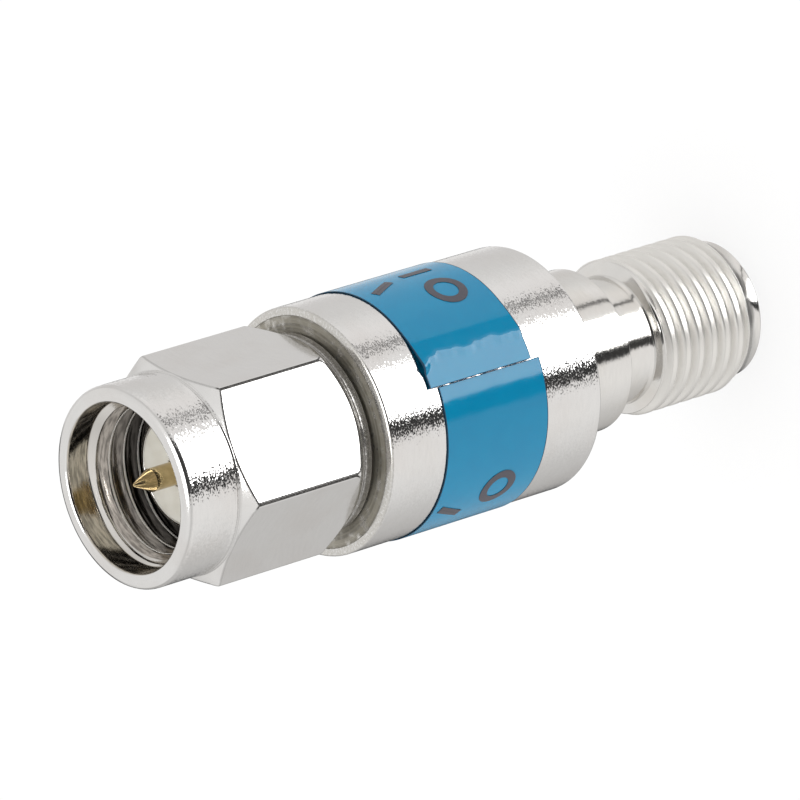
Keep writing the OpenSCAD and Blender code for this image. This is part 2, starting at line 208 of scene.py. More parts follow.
def flatsAndPaintedEdges(finish, shape):  # the flats, and the fine lines of painted dark edge reflection where they end
    where, x, y, z = finish.place()
    radius = finish.radius()
    rear, front, flat = shape["rear"], shape["front"], shape["acrossFlats"] / 2
    sine = y / radius
    swing = abs(sine * 3.0 - sine * sine * sine * 4.0).atMost(1.0)  # 1 in a flat's middle, 0 on a corner
    turn = swing.through("ARCCOSINE") / 3
    reach, aside = radius * turn.through("COSINE"), radius * turn.through("SINE")
    onFlat = reach.rise(flat - 0.07, flat - 0.03) * z.rise(rear, rear + 0.02)
    onFlat = onFlat * (1.0 - z.rise(front - 0.02, front))
    toCorner = flat * math.tan(math.pi / 6) - aside
    toFront = (front - z) / math.tan(math.pi / 6) + shape["foot"] - radius
    toRear = z - rear + shape["foot"] - radius
    fromSide, fromRear = [(shape["bend"] - gap).atLeast(0.0) for gap in (toCorner, toRear)]
    bent = shape["bend"] - (fromSide * fromSide + fromRear * fromRear).root()  # the rear corners are rounded
    line = 1.0 - abs(toFront).rise(shape["line"] * 0.5, shape["line"])
    line = line.atLeast(1.0 - abs(bent - 0.035).rise(shape["line"] * 0.34, shape["line"] * 0.58))
    facing = (sine * -1.0).rise(0.84, 0.858, shape["faint"], 1.0)  # the flat facing -Y, towards the camera, has the strongest painted edge reflection; the others get the faint share
    return onFlat, line * onFlat * facing


def insideShadeAndHighlight(finish, inside, lines, colour):
    # dull, dirty colours with painted shade in the mouth and on the thread, darker with the depth as painted shade,
    # and pale worn crests that also stand in for their highlight
    z, radius = finish.place()[3], finish.radius()
    ledge, mouth = inside["ledge"], inside["mouth"]
    within = 1.0 - radius.rise(inside["radius"], inside["radius"] + 0.05)
    crest = 1.0 - radius.rise(inside["crest"] + 0.003, inside["crest"] + 0.022)
    crest = within * crest * (1.0 - z.rise(ledge + 0.01, ledge + 0.03))
    scratch = lines.rise(0.35, 0.65, 0.55, 1.1)
    mouthDirtAndShade, threadDirtAndShade = [finish.point(*[scratch * part for part in inside[key]])
                                 for key in ("mouthDirtAndShade", "threadDirtAndShade")]
    shadedInside = finish.blend(z.rise(ledge, ledge + 0.02), threadDirtAndShade, inside["ledgeDirtAndShade"])
    shadedInside = finish.blend(z.rise(mouth - 0.02, mouth), shadedInside, mouthDirtAndShade)
    # painted shade: the deeper the point lies in the bore, the darker its colour
    depth = z.rise(inside["low"], inside["high"], inside["deepestShade"], 1.0)
    # the crests' pale colour with less metal is wear and a painted highlight
    shadedInside = finish.blend(crest, shadedInside * finish.grey(depth), inside["crestWearAndHighlight"])
    return within, crest, finish.blend(within, colour, shadedInside)


def grimeAndShadeLook(finish, grimeAndShade):  # dirt that stays where a cloth doesn't reach, together with painted shade at the joint between nut and body, and its colour
    where, x, y, z = finish.place()
    half, middle = (grimeAndShade["high"] - grimeAndShade["low"]) / 2, (grimeAndShade["high"] + grimeAndShade["low"]) / 2
    rings = finish.noise(finish.point(finish.radius() * 15.0, z * 6.0, 0.0), detail=3.0)
    patches = finish.noise(where, grimeAndShade["patches"], detail=4.0)
    dirtAndShade = 1.0 - abs(z - middle).rise(half - 0.06, half + 0.06)
    dirtAndShade = dirtAndShade * (patches + rings * 0.5).rise(grimeAndShade["thin"], grimeAndShade["thick"]) * grimeAndShade["strength"]
    return dirtAndShade, finish.blend(rings.rise(0.35, 0.65), grimeAndShade["colour"], grimeAndShade["lighter"])


def goldPlate(name, look):
    finish = newFinish(name)
    where, x, y, z = finish.place()
    lines = finish.noise(finish.point(x * 2.0, y * 2.0, z * 16.0))
    wear = finish.noise(where, 3.0, detail=3.0).rise(0.35, 0.7)
    roughness = lines.rise(0.2, 0.8, look["roughness"] * 0.75, look["roughness"] * 1.3)
    return finish.close(Base_Color=finish.blend(wear, look["colour"], look["worn"]), Metallic=1.0,
                        Roughness=roughness, Normal=finish.bump(lines, look["depth"]))


def waxyPlastic(name, look):
    finish = newFinish(name)
    where, x, y, z = finish.place()
    rings = finish.noise(finish.point(finish.radius() * 9.0, z * 9.0, 0.0))
    cloud = finish.noise(where, 1.4, detail=3.0)
    colour = finish.blend(cloud.rise(0.3, 0.7), look["colour"], look["stained"])
    roughness = rings.rise(0.2, 0.8, look["roughness"] - 0.06, look["roughness"] + 0.08)
    return finish.close(Base_Color=colour, Roughness=roughness, Subsurface_Weight=look["milk"],
                        Subsurface_Radius=(0.4 * mm, 0.35 * mm, 0.3 * mm), Subsurface_Scale=1.0,
                        Normal=finish.bump(rings + cloud * 0.6, look["depth"]))


def filmBlue(name, look):
    finish = newFinish(name)
    where, x, y, z = finish.place()
    edge = look["edge"]
    half, middle = (edge["high"] - edge["low"]) / 2, (edge["high"] + edge["low"]) / 2
    turn = (y.join("ARCTAN2", y, x) / (2 * math.pi) - (edge["seam"] / 360 - 2.0)).through("FRACT")
    toSeam = (0.5 - abs(turn - 0.5)) * 31.0  # once round is 31 mm
    toEdge = (half - abs(z + turn * edge["drop"] - middle)).atMost(toSeam)
    # a dark line along the film's edges and at its seam, a painted shadow of the gap and the lifted edge
    cut = 1.0 - toEdge.rise(edge["width"] * 0.6, edge["width"])
    waves = finish.noise(where, look["waveSize"], detail=1.5)
    dust = finish.noise(where, 14.0)
    cloud = finish.noise(where, 0.8)
    colour = finish.blend(cloud.rise(0.3, 0.7), look["colour"], look["shade"])
    roughness = dust.rise(0.3, 0.75, look["roughness"], look["roughness"] + 0.1) + cut * 0.5
    # the edge colour there is a painted shadow
    return finish.close(Base_Color=finish.blend(cut, colour, edge["colour"]), Roughness=roughness,
                        IOR=look["gloss"], Normal=finish.bump(waves + dust * 0.02, look["wave"]))


def mattInk(name, look):
    finish = newFinish(name)
    speckle = finish.noise(finish.place()[0], look["speckle"], detail=3.0)
    colour = finish.blend(speckle.rise(0.3, 0.7), look["colour"], look["thin"])
    roughness = speckle.rise(0.2, 0.8, look["roughness"] - 0.1, look["roughness"] + 0.1)
    return finish.close(Base_Color=colour, Roughness=roughness, Normal=finish.bump(speckle, look["depth"]))


turning = {  # what a turned metal has unless its own line says otherwise
    "stretch": 0.2, "lineRound": 2.0, "lineFine": 12.0, "streakRound": 3.0, "streakFine": 15.0,
    "ragged": 0.1, "grain": 20.0, "grainShare": 0.5, "streak": 0.1, "depth": 0.004,
}
polished = {**turning, "stretch": 0.3, "streak": 0.03, "grainShare": 0.2}

finishes = {
    "nut_metal": turnedMetal("nutSteel", {
        **polished, "colour": (0.74, 0.735, 0.725), "stained": (0.70, 0.68, 0.66), "roughness": 0.10,
        "lineFine": 10.0, "streakRound": 11.0, "ragged": 0.50, "grain": 22.0, "grainShare": 0.15,
        # the edge colour is a painted dark reflection along the flats' edges
        "depth": 0.003, "paintedEdgeReflection": (0.05, 0.048, 0.046),
        "hexagon": {"acrossFlats": 8.0, "rear": 21.9718, "front": 27.9718, "foot": 3.98,
                    "line": 0.085, "bend": 0.3, "faint": 0.22},
        # the inside colours are dirt with painted shade; the crest colour is wear with a painted highlight
        "inside": {"radius": 3.32, "low": 27.2, "high": 29.3, "deepestShade": 0.08, "crest": 2.87,
                   "mouth": 29.44, "ledge": 29.09, "threadDirtAndShade": (0.42, 0.385, 0.345),
                   "ledgeDirtAndShade": (0.66, 0.64, 0.61), "mouthDirtAndShade": (0.56, 0.52, 0.455),
                   "crestWearAndHighlight": (0.90, 0.88, 0.84), "roughness": 0.01},
        # dirt together with painted shade where the nut meets the body
        "grimeAndShade": {"low": 21.3, "high": 22.7, "patches": 9.0, "thin": 0.4, "thick": 0.75, "strength": 0.85,
                  "colour": (0.20, 0.19, 0.175), "lighter": (0.40, 0.385, 0.36),
                  "roughness": 0.15, "earthy": 0.3}}),
    "body_metal": turnedMetal("bodySteel", {
        **polished, "colour": (0.74, 0.735, 0.725), "stained": (0.70, 0.68, 0.66), "roughness": 0.08,
        "lineRound": 2.2, "lineFine": 11.0, "streakRound": 12.0, "streakFine": 20.0, "ragged": 0.34,
        "grain": 24.0,
        "grimeAndShade": {"low": 21.22, "high": 21.7, "patches": 10.0, "thin": 0.6, "thick": 0.85, "strength": 0.42,
                  "colour": (0.26, 0.24, 0.19), "lighter": (0.44, 0.42, 0.36),
                  "roughness": 0.25, "earthy": 0.3}}),
    "head_metal": turnedMetal("headSteel", {
        **polished, "colour": (0.74, 0.73, 0.71), "stained": (0.69, 0.66, 0.61), "roughness": 0.10,
        "lineFine": 9.0, "streakRound": 9.0, "streakFine": 16.0, "ragged": 0.07, "depth": 0.003,
        "satin": (0.97, 5.38, 0.30, (0.845, 0.832, 0.80)),
        "grimeAndShade": {"low": 20.9, "high": 22.4, "patches": 2.4, "thin": 0.40, "thick": 0.75, "strength": 0.92,
                  "colour": (0.17, 0.155, 0.12), "lighter": (0.38, 0.355, 0.29),
                  "roughness": 0.24, "earthy": 0.65}}),
    "spring_metal": turnedMetal("springSteel", {
        **turning, "colour": (0.55, 0.54, 0.52), "stained": (0.45, 0.43, 0.40), "roughness": 0.25}),
    "ring_metal": turnedMetal("ringSteel", {
        **turning, "colour": (0.62, 0.61, 0.58), "stained": (0.52, 0.50, 0.46), "roughness": 0.2,
        "grainShare": 0.4, "streak": 0.08}),
    "block_metal": turnedMetal("blockBrass", {
        **turning, "colour": (0.60, 0.53, 0.36), "stained": (0.50, 0.44, 0.30), "roughness": 0.28,
        "lineRound": 1.5, "lineFine": 9.0, "streakFine": 12.0, "grain": 16.0, "depth": 0.006}),
    "pad_metal": turnedMetal("padSilver", {
        **turning, "colour": (0.72, 0.72, 0.70), "stained": (0.60, 0.59, 0.56), "roughness": 0.35,
        "stretch": 0.0, "lineRound": 6.0, "lineFine": 6.0, "streakRound": 6.0, "streakFine": 6.0,
        "grain": 16.0, "grainShare": 1.0, "depth": 0.006}),
    "gold_plate": goldPlate("goldPlate", {
        "colour": (0.54, 0.42, 0.225), "worn": (0.43, 0.335, 0.175), "roughness": 0.11, "depth": 0.0002}),
    "insulator": waxyPlastic("whiteInsulator", {
        "colour": (0.58, 0.565, 0.51), "stained": (0.53, 0.51, 0.45), "roughness": 0.42,
        "milk": 0.1, "depth": 0.002}),
    "bead_plastic": waxyPlastic("creamBead", {
        "colour": (0.76, 0.70, 0.57), "stained": (0.68, 0.61, 0.47), "roughness": 0.5,
        "milk": 0.05, "depth": 0.003}),
    "label_film": filmBlue("blueFilm", {
        "colour": (0.002, 0.268, 0.50), "shade": (0.002, 0.282, 0.515), "roughness": 0.06, "gloss": 1.43,
        "waveSize": 0.75, "wave": 0.006,
        "edge": {"low": 13.81, "high": 18.94, "drop": 0.435, "seam": -90.55, "width": 0.045,
                 # the edge colour is a painted shadow along the film's edges
                 "colour": (0.004, 0.05, 0.10)}}),
    "label_ink": mattInk("darkInk", {
        "colour": (0.062, 0.056, 0.072), "thin": (0.085, 0.082, 0.105), "roughness": 0.4,
        "speckle": 18.0, "depth": 0.002}),
    "chip_ceramic": mattInk("chipCeramic", {
        "colour": (0.84, 0.82, 0.76), "thin": (0.78, 0.76, 0.70), "roughness": 0.6,
        "speckle": 14.0, "depth": 0.003}),
    "resistor_ink": mattInk("resistorFilm", {
        "colour": (0.05, 0.045, 0.04), "thin": (0.08, 0.07, 0.06), "roughness": 0.5,
        "speckle": 20.0, "depth": 0.003}),
}
print("finishes ready:", len(finishes))


# meshes turned round the axis; a profile is a list of radius and height in millimetres

def softenCorners(points, size, steps=3):
    soft = [points[0]]
    for before, corner, after in zip(points, points[1:], points[2:]):
        back, ahead = Vector(before) - Vector(corner), Vector(after) - Vector(corner)
        if abs(back.angle(ahead, 0.0) - math.pi) < 0.02:  # hardly a corner
            soft.append(corner)
            continue
        start = Vector(corner) + back.normalized() * min(size, back.length * 0.42)
        end = Vector(corner) + ahead.normalized() * min(size, ahead.length * 0.42)
        for step in range(steps + 1):
            t = step / steps
            soft.append(tuple(start * (1 - t) ** 2 + Vector(corner) * 2 * t * (1 - t) + end * t * t))
    return soft + [points[-1]]


def splitSpans(points, longest):
    split = [points[0]]
    for start, end in zip(points, points[1:]):
        parts = max(1, math.ceil(math.dist(start, end) / longest))
        split += [tuple(Vector(start).lerp(Vector(end), part / parts)) for part in range(1, parts + 1)]
    return split


def addPiece(name, points, faces, body, slotName, *replaced):
    mesh = bpy.data.meshes.new(name)
    mesh.from_pydata([tuple(value * mm for value in point) for point in points], [], faces)
    mesh.validate()
    mesh.polygons.foreach_set("use_smooth", [True] * len(mesh.polygons))
    piece = bpy.data.objects.new(name, mesh)
    bpy.context.scene.collection.objects.link(piece)
    evened = piece.modifiers.new("evenShading", "WEIGHTED_NORMAL")
    evened.keep_sharp = True
    mesh.materials.append(finishes[slotName])
    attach(piece, body)
    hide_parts(*replaced)
    print(name, "built,", len(faces), "faces")
    return piece


def turnedSolid(name, profile, angles, body, slotName, replaced, radiusAt=None):
    # the profile runs as a closed loop, anticlockwise seen with the radius to the right
    rows, columns = len(profile), len(angles)
    points = []
    for radius, height in profile:
        for angle in angles:
            reach = radiusAt(radius, height, angle) if radiusAt else radius
            points.append((reach * math.cos(angle), reach * math.sin(angle), height))
    faces = []
    for row in range(rows):
        above = (row + 1) % rows
        for column in range(columns):
            beside = (column + 1) % columns
            faces.append((row * columns + column, row * columns + beside,
                          above * columns + beside, above * columns + column))
    addPiece(name, points, faces, body, slotName, replaced)


def roundAngles(count):
    return [2 * math.pi * step / count for step in range(count)]


def softMin(first, second, width):
    overlap = max(width - abs(first - second), 0.0) / width
    return min(first, second) - overlap * overlap * width / 4


def threadShape(turn, crestHalf, rootStart, roundness):  # 0 on the crest, 1 in the root
    across = abs(turn - math.floor(turn) - 0.5) * 2  # 1 at the crest's middle
    depth = ((1 - across) - crestHalf) / (rootStart - crestHalf)
    depth = min(max(depth, 0.0), 1.0)
    return depth * depth * (3 - 2 * depth) * roundness + depth * (1 - roundness)


# the coupling nut

nut = {
    "acrossFlats": 8.0, "bottom": 21.4418, "rear": 21.9718, "front": 27.9718, "top": 30.4418,
    "footRadius": 3.98, "landRadius": 4.5888, "collarRadius": 3.95, "boreRadius": 3.05,
    "mouthRadius": 3.30, "minorRadius": 2.87, "grooveDepth": 0.335, "pitch": 0.7056,
    "threadBottom": 25.5638, "threadTop": 29.0918, "mouthBottom": 29.4418, "threadForm": (0.10, 0.90, 0.35),
    "ringGroove": (22.4418, 22.9518, 3.27), "edge": 0.06, "cornerEdge": 0.13, "rimEdge": 0.23,
}


def hexRadius(angle):
    # flats face -Y and every 60 degrees from it
    local = (angle + math.pi / 2) % (math.pi / 3)
    flat = nut["acrossFlats"] / 2
    return softMin(flat / math.cos(local), flat / math.cos(math.pi / 3 - local), nut["cornerEdge"])


def nutProfile():
    rear, front, top, bottom = nut["rear"], nut["front"], nut["top"], nut["bottom"]
    foot, land, collar, rim = nut["footRadius"], nut["landRadius"], nut["collarRadius"], nut["rimEdge"]
    mouth, minor, bore = nut["mouthRadius"], nut["minorRadius"], nut["boreRadius"]
    grooveLow, grooveHigh, grooveRadius = nut["ringGroove"]
    slope = (land - foot) * math.tan(math.radians(30))
    skirt = foot - 0.01
    outside = [(bore, bottom), (foot - 0.07, bottom), (skirt, bottom + 0.06), (skirt, rear - 0.16),
               (foot - 0.07, rear - 0.13), (foot - 0.07, rear - 0.09), (skirt, rear - 0.06),
               (skirt, rear), (land, rear + land - foot), (land, front - slope), (foot, front),
               (foot, front + 0.02), (skirt, front + 0.05), (foot - 0.05, front + 0.09),
               (foot - 0.05, front + 0.12), (skirt, front + 0.16), (skirt, front + 0.26),
               (collar, front + 0.3), (collar, top - rim), (collar - rim * 0.3, top - rim * 0.3),
               (collar - rim, top), (mouth + 0.09, top), (mouth, top - 0.08),
               (mouth, nut["mouthBottom"]), (minor, nut["threadTop"])]
    inside = [(bore, nut["threadBottom"]), (bore, grooveHigh), (grooveRadius, grooveHigh),
              (grooveRadius, grooveLow), (bore, grooveLow)]
    outside = softenCorners(outside, nut["edge"], 5)
    fine = []
    for start, end in zip(outside, outside[1:]):
        height = (start[1] + end[1]) / 2
        slanted = abs(start[0] - end[0]) > 0.05
        chamfer = slanted and rear < height < front
        cone = slanted and height > nut["threadTop"] and start[0] < mouth + 0.001
        fine += splitSpans([start, end], 0.03 if chamfer or cone else 3.0)[:-1]
    turns = splitSpans([(minor, nut["threadTop"]), (minor, nut["threadBottom"])], nut["pitch"] / 22)
    return fine + turns + inside


def nutRadius(radius, height, angle):
    if radius > 3.9 and nut["rear"] - 0.03 < height < nut["front"] + 0.01:
        return softMin(hexRadius(angle), radius, 0.05)
    onThread = nut["threadBottom"] - 0.001 <= height <= nut["mouthBottom"] + 0.001
    if onThread and radius <= nut["mouthRadius"] + 0.001:
        turn = height / nut["pitch"] - angle / (2 * math.pi)
        cut = 1 - threadShape(turn, *nut["threadForm"])
        fade = min(1.0, (height - nut["threadBottom"]) / 0.5)
        return max(radius, nut["minorRadius"] + nut["grooveDepth"] * cut * fade)
    return radius


def hexAngles():
    angles = []
    for side in range(6):
        corner = side * 60 - 60  # corners stand 30 degrees off the flats
        angles += [corner - 4 + step * 0.4 for step in range(20)]  # close together round the corner
        angles += [corner + 4 + step * 52 / 28 for step in range(28)]
    return sorted(math.radians(angle) % (2 * math.pi) for angle in angles)


turnedSolid("couplingNut", nutProfile(), hexAngles(), "nut", "nut_metal", "coupling_nut", nutRadius)


# the body tube

body = {
    "radius": 4.8988, "rear": 10.5718, "wall": 11.5918, "seat": 19.7418, "front": 21.3218,
    "neckBore": 3.30, "cavityRadius": 4.0988, "lipRadius": 4.5588, "edge": 0.05,
}


def bodyProfile():
    rear, wall, seat, front = body["rear"], body["wall"], body["seat"], body["front"]
    radius, neck, cavity, lip = body["radius"], body["neckBore"], body["cavityRadius"], body["lipRadius"]
    corners = [(neck, rear), (radius - 0.1, rear), (radius - 0.03, rear + 0.03), (radius, rear + 0.1),
               (radius, front - 0.11), (radius - 0.06, front - 0.05), (lip + 0.04, front),
               (lip, front - 0.012), (lip, seat), (cavity, seat), (cavity, wall), (neck, wall)]
    return softenCorners(corners, body["edge"])


turnedSolid("bodyTube", bodyProfile(), roundAngles(256), "attenuator", "body_metal", "housing")


# the plug's flange, barrel and contact tube

plug = {
    "tail": 18.5918, "seat": 19.7418, "flange": 21.2918, "grooveLow": 22.4418, "grooveHigh": 23.1518,
    "barrelTop": 24.5918, "plane": 27.6918, "beadEnd": 21.5918, "seatRadius": 4.0788,
    "flangeRadius": 4.5688, "barrelRadius": 2.95, "grooveRadius": 2.45, "tubeRadius": 2.27,
    "tubeBore": 2.07, "beadBore": 2.42, "edge": 0.03,
}


def plugProfile():
    tail, seat, flange, beadEnd = plug["tail"], plug["seat"], plug["flange"], plug["beadEnd"]
    low, high, top, plane = plug["grooveLow"], plug["grooveHigh"], plug["barrelTop"], plug["plane"]
    seated, wide, barrel = plug["seatRadius"], plug["flangeRadius"], plug["barrelRadius"]
    groove, tube, bore, bead = plug["grooveRadius"], plug["tubeRadius"], plug["tubeBore"], plug["beadBore"]
    corners = [(bead, tail), (seated - 0.06, tail), (seated, tail + 0.06), (seated, seat), (wide, seat),
               (wide, flange - 0.012), (wide - 0.012, flange), (barrel, flange), (barrel, low),
               (groove, low), (groove, high), (barrel, high), (barrel, top - 0.3), (barrel - 0.3, top),
               (tube, top), (tube, plane - 0.07), (tube - 0.07, plane), (bore, plane),
               (bore, beadEnd), (bead, beadEnd)]
    return softenCorners(corners, plug["edge"])


turnedSolid("plugHead", plugProfile(), roundAngles(192), "attenuator", "head_metal", "plug_shell")


# the jack's mouth, thread, relief and neck

jack = {
    "pilotRadius": 2.77, "pilotTop": 1.0, "threadRadius": 3.175, "threadTop": 5.3218, "pitch": 0.7056,
    "threadDepth": 0.30, "threadForm": (0.24, 1.0, 1.0), "firstTurn": 0.5, "reliefRadius": 2.6,
    "reliefLow": 5.5918, "reliefHigh": 7.4418, "neckRadius": 3.28, "wall": 11.5918, "top": 12.9918,
    "seatRadius": 4.0788, "beadBore": 2.42, "beadStart": 8.5918, "tubeBore": 2.07,
    "mouthRadius": 2.31, "mouthDepth": 1.9, "edge": 0.04,
}


def jackProfile():
    pilotTop, threadTop, low, high = jack["pilotTop"], jack["threadTop"], jack["reliefLow"], jack["reliefHigh"]
    wall, top, beadStart, depth = jack["wall"], jack["top"], jack["beadStart"], jack["mouthDepth"]
    pilot, crest, relief, neck = jack["pilotRadius"], jack["threadRadius"], jack["reliefRadius"], jack["neckRadius"]
    seated, bead, bore, mouth = jack["seatRadius"], jack["beadBore"], jack["tubeBore"], jack["mouthRadius"]
    start = [(mouth + 0.1, 0.0), (pilot - 0.1, 0.0), (pilot, 0.1), (pilot, pilotTop - 0.08)]
    ridge = [(pilot, pilotTop - 0.08), (crest - 0.1, pilotTop - 0.02), (crest, pilotTop + 0.04),
             (crest, threadTop), (crest - 0.08, threadTop + 0.06), (relief, low)]
    rest = [(relief, low), (relief, high), (neck - 0.05, high), (neck, high + 0.05), (neck, wall),
            (seated, wall), (seated, top), (bead, top), (bead, beadStart), (bore, beadStart),
            (bore, depth), (mouth, depth), (mouth, 0.09)]
    turns = splitSpans(ridge, jack["pitch"] / 22)
    rest = splitSpans(softenCorners(rest, jack["edge"]), 0.3)
    return softenCorners(start, jack["edge"])[:-1] + turns[:-1] + rest


def jackRadius(radius, height, angle):
    onThread = jack["pilotTop"] - 0.081 < height < jack["reliefLow"] + 0.001
    if onThread and radius > jack["reliefRadius"] + 0.001:
        turn = height / jack["pitch"] - angle / (2 * math.pi) + jack["firstTurn"]
        return min(radius, jack["threadRadius"] - jack["threadDepth"] * threadShape(turn, *jack["threadForm"]))
    return radius


turnedSolid("jackHead", jackProfile(), roundAngles(256), "attenuator", "head_metal", "jack_shell", jackRadius)


# the label, wrapped once round the body with its ends side by side; its angles are degrees from the seam

label = {
    "low": 13.81, "high": 18.94, "drop": 0.435, "seam": -90.55, "inside": 4.9188, "thickness": 0.03,
    "gap": 0.26, "leastGap": 0.06, "columns": 480, "rows": 48, "flutter": 0.002,
    "bowStart": 33.0, "bowEnd": 22.0, "bowTilt": 0.545, "liftFlat": 25.9, "liftEnd": 14.6,
    "liftWave": 0.9, "cornerDrop": 4.0, "easeDown": 5.0, "liftLeft": 0.065, "insideLift": 0.7,
    "waves": ((1.0, 2.9, 0.6), (0.6, 7.1, 0.0), (0.4, 13.3, 1.0)),  # size, rate and shift of each
}


def labelLift(degrees, height):  # the end at the seam has come off a little and stands proud
    wave = sum(size * math.sin(height * rate + shift) for size, rate, shift in label["waves"])
    top = min(max((height - label["high"] + 0.6) / 0.5, 0.0), 1.0)
    end = label["liftEnd"] + label["liftWave"] * wave - label["cornerDrop"] * top * top
    reached = max(degrees, end)
    bow = min(max(label["bowStart"] - reached, 0.0), label["bowStart"] - label["bowEnd"])
    climb = math.radians(bow) ** 2 * label["bowTilt"]
    if reached < label["bowEnd"]:  # a flat stretch from there to the crease
        climb += math.radians(label["liftFlat"] - reached) ** 2
        climb -= math.radians(label["liftFlat"] - label["bowEnd"]) ** 2
    lift = label["inside"] * climb / 2
    past = min(max((end - degrees) / label["easeDown"], 0.0), 1.0)
    return lift + (label["liftLeft"] - lift) * past * past * (3 - 2 * past)


def seamGap(height):  # half the gap between the two ends, in degrees
    return label["gap"] * max(label["leastGap"], math.sin(height * 8.3) * math.sin(height * 3.7 + 1.0))


def labelPoint(side, turn, along):  # side 1 is the outer face; turn and along run from 0 to 1
    low, high = [label[key] - label["drop"] * turn for key in ("low", "high")]
    height = low + (high - low) * along
    degrees = seamGap(height) + turn * (360 - 2 * seamGap(height))
    angle = math.radians(label["seam"] + degrees)
    ripple = label["flutter"] * math.sin(angle * 23 + height * 2.1) * math.sin(angle * 9 - height * 3.3)
    radius = label["inside"] + labelLift(degrees, height) * (1.0 if side else label["insideLift"])
    radius += label["thickness"] + max(ripple, 0.0) if side else 0.0
    return radius * math.cos(angle), radius * math.sin(angle), height


def buildLabel():
    columns, rows = label["columns"], label["rows"]
    across = rows + 1
    skin = across * (columns + 1)  # from an inner point's number to the outer one's
    points = [labelPoint(side, column / columns, row / rows)
              for side in (0, 1) for column in range(columns + 1) for row in range(rows + 1)]
    faces = []
    for column in range(columns):
        for row in range(rows):
            inner = (column * across + row, column * across + row + 1,
                     (column + 1) * across + row + 1, (column + 1) * across + row)
            faces += [inner, tuple(index + skin for index in reversed(inner))]
        for row in (0, rows):
            first, second = column * across + row, (column + 1) * across + row
            rim = (first, second, second + skin, first + skin)
            faces.append(rim if row == 0 else rim[::-1])
    for column in (0, columns):
        for row in range(rows):
            first, second = column * across + row, column * across + row + 1
            rim = (first, second, second + skin, first + skin)
            faces.append(rim[::-1] if column == 0 else rim)
    piece = addPiece("labelWrap", points, faces, "attenuator", "label_film", "label_band")
    piece.data.set_sharp_from_angle(angle=math.radians(40))


buildLabel()


# plain rings and bars, printed on the label

marks = {
    "seam": -90.5, "middle": 16.1918, "height": 1.7, "stroke": 0.35, "radius": 4.9600, "thickness": 0.012,
    "rings": [(46, -0.765), (-58.5, -0.765)],  # degrees from the seam, then the height above the middle
    "bars": [(61, 1.36, 28), (67, -0.765, 0), (-66.5, 1.36, -28)],  # the same, then the lean in degrees
}


def buildMarks():
    points, faces = [], []

    def place(seamAngle, lift, x, y):  # x in millimetres round the label, y along the axis
        return marks["seam"] + seamAngle + math.degrees(x / marks["radius"]), marks["middle"] + lift + y

    def addPatch(outline, inline):  # a thin strip between two closed outlines, wrapped on the label
        start, count, thick = len(points), len(outline), marks["thickness"]
        for line, rise in ((outline, 0.0), (outline, thick), (inline, thick), (inline, 0.0)):
            for degrees, height in line:
                angle, reach = math.radians(degrees), marks["radius"] + rise
                points.append((reach * math.cos(angle), reach * math.sin(angle), height))
        for band in range(4):
            for step in range(count):
                ahead, other = (step + 1) % count, (band + 1) % 4
                faces.append((start + band * count + step, start + band * count + ahead,
                              start + other * count + ahead, start + other * count + step))

    for seamAngle, lift in marks["rings"]:
        outer, inner = marks["height"] / 2, marks["height"] / 2 - marks["stroke"]
        addPatch(*[[place(seamAngle, lift, reach * math.cos(t), reach * math.sin(t)) for t in roundAngles(64)]
                   for reach in (outer, inner)])
    for seamAngle, lift, lean in marks["bars"]:
        half, width = marks["height"] * 0.425, marks["stroke"] / 2
        cosine, sine = math.cos(math.radians(lean)), math.sin(math.radians(lean))
        edge = [(-width, -half + half * 2 * step / 12) for step in range(13)]
        edge += [(width, half - half * 2 * step / 12) for step in range(13)]
        spine = [(0.02 * x, 0.98 * y) for x, y in edge]
        addPatch(*[[place(seamAngle, lift, x * cosine - y * sine, x * sine + y * cosine) for x, y in line]
                   for line in (edge, spine)])
    piece = addPiece("labelMarks", points, faces, "attenuator", "label_ink", "label_print")
    piece.data.set_sharp_from_angle(angle=math.radians(40))


buildMarks()


# the pieces that stay as the frame has them

for entry in frame["record"]["subparts"]:
    kept = cadNodes[entry["node"]]
    if not kept.hide_render:
        kept.data.materials.clear()
        kept.data.materials.append(finishes[entry["material_slot"]])
print("kept pieces finished")


# the floor, light from all round and one soft lamp above

room = {
    "floorRadius": 1.2, "floorGlow": 0.86, "lampHeight": 0.55, "lampSize": 0.3, "lampPower": 1.7,
    "boxBearing": -81.6, "boxHalf": 21.4, "boxLight": 4.0,  # a bright box that the turned walls mirror
    "sides": [  # bearing in degrees, then the colour that is seen there
        (-180, 0.86, 0.85, 0.84), (-168, 0.93, 0.92, 0.91), (-150, 1.0, 0.985, 0.97), (-123, 0.99, 0.97, 0.96),
        (-118.5, 0.05, 0.05, 0.05), (-105, 0.04, 0.04, 0.04), (-101.5, 1.0, 1.0, 1.0), (-60, 1.0, 1.0, 0.99),
        (-52, 1.0, 0.98, 0.97), (-40.5, 0.92, 0.90, 0.89), (-36.9, 0.10, 0.10, 0.10), (-34.9, 0.10, 0.10, 0.10),
        (-31.3, 0.94, 0.92, 0.91), (-15, 1.0, 0.98, 0.97), (0, 0.91, 0.90, 0.89), (14, 0.82, 0.81, 0.80),
        (40, 0.76, 0.745, 0.735), (55, 0.77, 0.755, 0.75), (64, 0.91, 0.90, 0.89), (74, 0.86, 0.85, 0.84),
        (79, 0.14, 0.14, 0.14), (100, 0.12, 0.12, 0.12), (110, 0.36, 0.355, 0.35), (122, 0.52, 0.51, 0.50),
        (140, 0.62, 0.61, 0.60), (162, 0.72, 0.71, 0.70), (180, 0.86, 0.85, 0.84)],
}


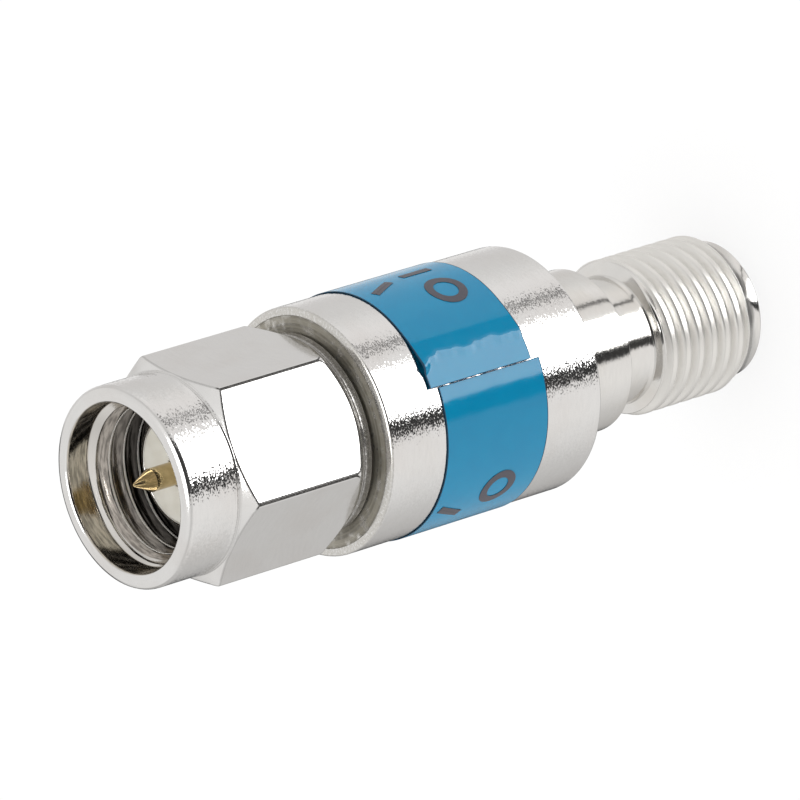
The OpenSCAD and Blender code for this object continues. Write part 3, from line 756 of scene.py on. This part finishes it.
def roomPattern():
    world = bpy.data.worlds.new("studio")
    bpy.context.scene.world = world
    finish = Finish(world)
    x, y, z = finish.split(finish.add("TexCoord", output="Generated", wide=True))
    bearing = y.join("ARCTAN2", y, x) * (180 / math.pi)
    around = ((bearing + 360 + 180) / 360).through("FRACT")  # 0 and 1 lie at 180 degrees
    stops = [((degrees + 180) / 360, colour) for degrees, *colour in room["sides"]]
    sides = finish.add("ValToRGB", {"stops": stops}, {0: around}, wide=True)
    box = (abs(bearing - room["boxBearing"]) / room["boxHalf"]).rise(0.93, 1.05, room["boxLight"], 0.0)
    sides = sides + finish.grey(box * z.rise(-0.12, -0.02, 1.0, 0.0))
    above = finish.blend(z.rise(0.5, 0.97), (0.74, 0.73, 0.72), (0.98, 0.97, 0.96))
    above = finish.blend(y.rise(0.2, 0.7) * z.rise(0.1, 0.35), above, (0.93, 0.92, 0.91))
    light = finish.blend(z.rise(0.0, 0.2), sides, above)
    facing = x * 0.015 - y * 0.866 + z * 0.5  # the dark side that the part is seen from
    light = finish.blend(facing.rise(0.82, 0.88) * z.rise(-0.03, 0.03), light, (0.06, 0.06, 0.06))
    light = finish.blend(z.rise(-0.98, -0.92, 0.7, 0.0), light, (0.10, 0.10, 0.10))  # dim straight below
    seen = finish.add("LightPath", output="Is Camera Ray")
    shown = finish.blend(seen, light, (1.0, 1.0, 1.0))
    background = finish.add("Background", None, {"Color": shown, "Strength": 1.0})
    finish.add("OutputWorld", None, {0: background})


def buildFloor():
    mesh = bpy.data.meshes.new("floor")
    rim = [(room["floorRadius"] * math.cos(a), room["floorRadius"] * math.sin(a), 0.0) for a in roundAngles(96)]
    mesh.from_pydata(rim, [], [tuple(range(len(rim)))])
    floor = bpy.data.objects.new("floor", mesh)
    bpy.context.scene.collection.objects.link(floor)
    finish = newFinish("floorPaper")
    mottle = finish.noise(finish.place()[0], 0.05)
    matt = finish.add("BsdfDiffuse", None, {"Color": finish.blend(mottle, (0.90, 0.90, 0.90), (0.93, 0.93, 0.93))})
    glow = finish.add("Emission", None, {"Color": (1.0, 1.0, 1.0), "Strength": 1.0})
    seen = finish.add("LightPath", output="Is Camera Ray")
    mirrored = finish.add("LightPath", output="Is Glossy Ray")
    under = finish.add("NewGeometry", output="Backfacing")
    paper = finish.add("MixShader", None, {0: seen * room["floorGlow"], 1: matt, 2: glow})
    clear = finish.add("BsdfTransparent", None, {"Color": (1.0, 1.0, 1.0)})
    surface = finish.add("MixShader", None, {0: mirrored.atLeast(under), 1: paper, 2: clear})
    finish.add("OutputMaterial", None, {0: surface})
    mesh.materials.append(finish.owner)


def buildLamp():
    data = bpy.data.lights.new("softLamp", "AREA")
    data.shape, data.size, data.energy = "DISK", room["lampSize"], room["lampPower"]
    lamp = bpy.data.objects.new("softLamp", data)
    lamp.location = (0.0, 0.0, room["lampHeight"])
    bpy.context.scene.collection.objects.link(lamp)


roomPattern()
buildFloor()
buildLamp()
bpy.context.scene.view_settings.view_transform = "Standard"
print("room lit")


# the camera

camera = bpy.data.objects.new("camera", bpy.data.cameras.new("camera"))
camera.location = (-0.012217, -0.248132, 0.212600)
camera.rotation_euler = [math.radians(angle) for angle in (-20.2838, 48.6667, -119.0603)]
camera.data.lens, camera.data.sensor_width = 370.41, 36.0
camera.data.clip_start, camera.data.clip_end = 0.01, 20.0
bpy.context.scene.collection.objects.link(camera)
bpy.context.scene.camera = camera
print("camera placed")
